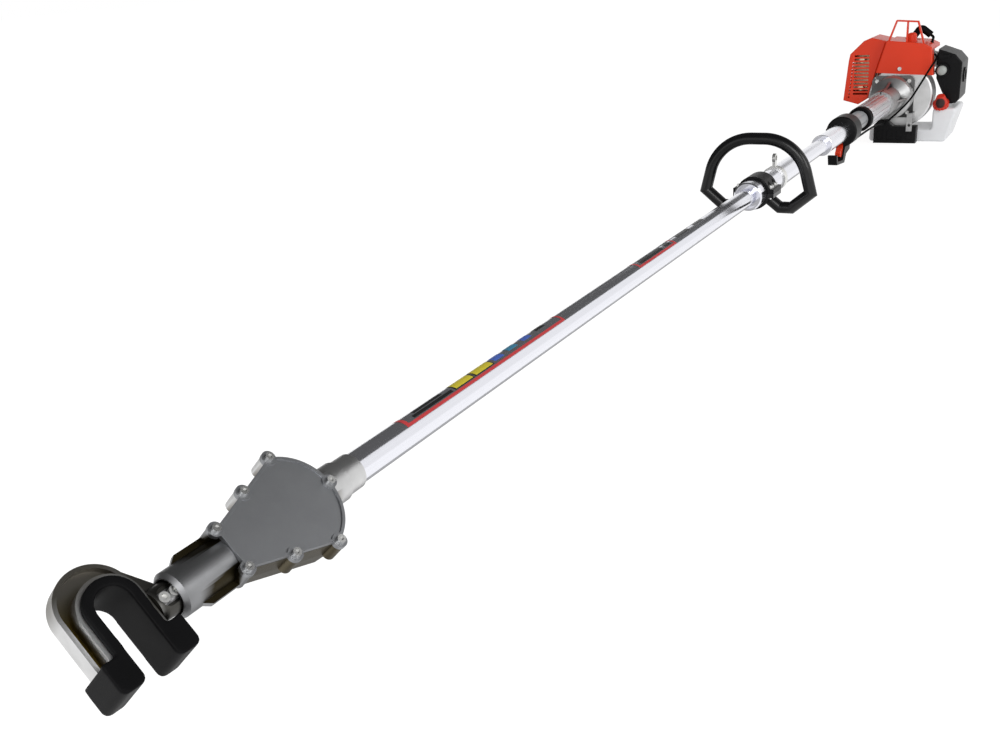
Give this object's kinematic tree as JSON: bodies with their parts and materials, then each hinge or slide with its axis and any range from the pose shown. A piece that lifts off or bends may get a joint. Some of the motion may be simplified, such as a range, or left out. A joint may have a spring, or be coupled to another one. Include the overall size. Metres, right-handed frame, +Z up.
{
  "type": "olive branch shaker",
  "caption": "Petrol branch shaker for olives: an engine drives a shaft in a long pole to a crank gearbox that pushes a rubber lined hook to and fro.",
  "frame": {"origin": "on the pole's axis where the tube leaves the gearbox socket", "axes": "+X along the pole from gearbox to engine, +Z up over the engine, +Y to the muffler side"},
  "size_m": [2.4837, 0.272, 0.2848],
  "materials": {
    "cast_aluminium": "cast, bead blasted",
    "gearbox_grey": "satin grey paint with a bright edge",
    "bright_tube": "polished, clear anodised",
    "steel": "ground",
    "zinc_screw": "zinc plated",
    "black_rubber": "matt",
    "black_plastic": "fine grain",
    "red_plastic": "moulded, glossy",
    "tank_white": "translucent white",
    "grey_sleeve": "moulded grey",
    "carburettor_metal": "die cast",
    "bush_bronze": "machined",
    "primer_clear": "translucent"
  },
  "bodies": {
    "machine": {"gearbox_body": "cast_aluminium", "gearbox_cover": "gearbox_grey", "cover_gasket": "grey_sleeve", "cover_screws": "zinc_screw", "guide_bush": "bush_bronze", "rod_seal": "black_rubber", "gear_bearings": "steel", "pole_tube": "bright_tube", "shaft_bushes": "grey_sleeve", "handle_sleeve": "bright_tube", "loop_handle": "black_plastic", "handle_clamp": "black_plastic", "handle_bolts": "zinc_screw", "harness_eye": "steel", "grip_sleeve": "bright_tube", "throttle_body": "black_plastic", "cable_shield": "grey_sleeve", "buffer_ring": "black_rubber", "damper_collar": "cast_aluminium", "throttle_cable": "black_rubber", "clutch_housing": "cast_aluminium", "drum_bearing": "steel", "fan_housing": "cast_aluminium", "crankcase": "cast_aluminium", "cylinder": "cast_aluminium", "starter_cover": "cast_aluminium", "cylinder_cover": "red_plastic", "guard_frame": "red_plastic", "muffler": "steel", "muffler_guard": "red_plastic", "carburettor": "carburettor_metal", "air_filter_base": "black_plastic", "air_filter_cover": "black_plastic", "spark_plug": "zinc_screw", "plug_boot": "black_rubber", "ignition_lead": "black_rubber", "fuel_tank": "tank_white", "engine_stand": "black_plastic", "engine_screws": "zinc_screw"},
    "hook": {"hook_casting": "cast_aluminium", "hook_pad": "black_rubber", "hook_screws": "zinc_screw", "shaker_rod": "steel", "wrist_pin": "steel"},
    "conrod": {"connecting_rod": "steel", "crank_pin": "steel"},
    "crank": {"crank_gear": "steel"},
    "shaft": {"drive_shaft": "steel", "bevel_pinion": "steel", "clutch_drum": "steel"},
    "rotor": {"crankshaft": "steel", "flywheel": "steel", "clutch_shoes": "steel"},
    "trigger": {"throttle_trigger": "red_plastic"},
    "switch": {"stop_switch": "black_plastic"},
    "primer": {"primer_bulb": "primer_clear"},
    "choke": {"choke_lever": "black_plastic"},
    "knob": {"filter_knob": "black_plastic"},
    "cap": {"fuel_cap": "red_plastic"},
    "starter": {"starter_grip": "black_plastic"}
  },
  "joints": [
    {"name": "hook_slide", "type": "slide", "parent": "machine", "child": "hook", "axis": [-1, 0, 0], "range_m": [0, 0.032]},
    {"name": "conrod_swing", "type": "hinge", "parent": "hook", "child": "conrod", "pos_m": [-0.124, 0, 0], "axis": [0, -0.6947, 0.7193], "range_deg": [-15.47, 15.47]},
    {"name": "shaft_spin", "type": "hinge", "parent": "machine", "child": "shaft", "pos_m": [0, 0, 0], "axis": [1, 0, 0], "continuous": true},
    {"name": "crank_spin", "type": "hinge", "parent": "machine", "child": "crank", "pos_m": [-0.08, 0, 0], "axis": [0, -0.6947, 0.7193], "continuous": true},
    {"name": "engine_spin", "type": "hinge", "parent": "machine", "child": "rotor", "pos_m": [2, 0, 0], "axis": [1, 0, 0], "continuous": true},
    {"name": "trigger_pull", "type": "hinge", "parent": "machine", "child": "trigger", "pos_m": [1.5987, 0, -0.027], "axis": [0, 1, 0], "range_deg": [0, 17], "stiffness_Nm_per_rad": 0.5, "springref_deg": -11.46},
    {"name": "stop_slide", "type": "slide", "parent": "machine", "child": "switch", "axis": [1, 0, 0], "range_m": [0, 0.006]},
    {"name": "primer_press", "type": "slide", "parent": "machine", "child": "primer", "axis": [1, 0, 0], "range_m": [0, 0.004], "stiffness_N_per_m": 900, "springref_m": -0.001},
    {"name": "choke_turn", "type": "hinge", "parent": "machine", "child": "choke", "pos_m": [2.106, -0.099, 0.088], "axis": [1, 0, 0], "range_deg": [0, 40]},
    {"name": "knob_turn", "type": "hinge", "parent": "machine", "child": "knob", "pos_m": [2.151, -0.135, 0.04], "axis": [0, -1, 0], "range_deg": [0, 360]},
    {"name": "cap_turn", "type": "hinge", "parent": "machine", "child": "cap", "pos_m": [2.095, -0.109, -0.03], "axis": [-0.5, 0, 0.866], "range_deg": [0, 360]},
    {"name": "starter_pull", "type": "slide", "parent": "machine", "child": "starter", "axis": [0, 0, 1], "range_m": [0, 0.035], "stiffness_N_per_m": 120, "springref_m": -0.02}
  ],
  "couplings": [
    {"joint": "crank_spin", "follows": "shaft_spin", "ratio": 0.3}
  ]
}
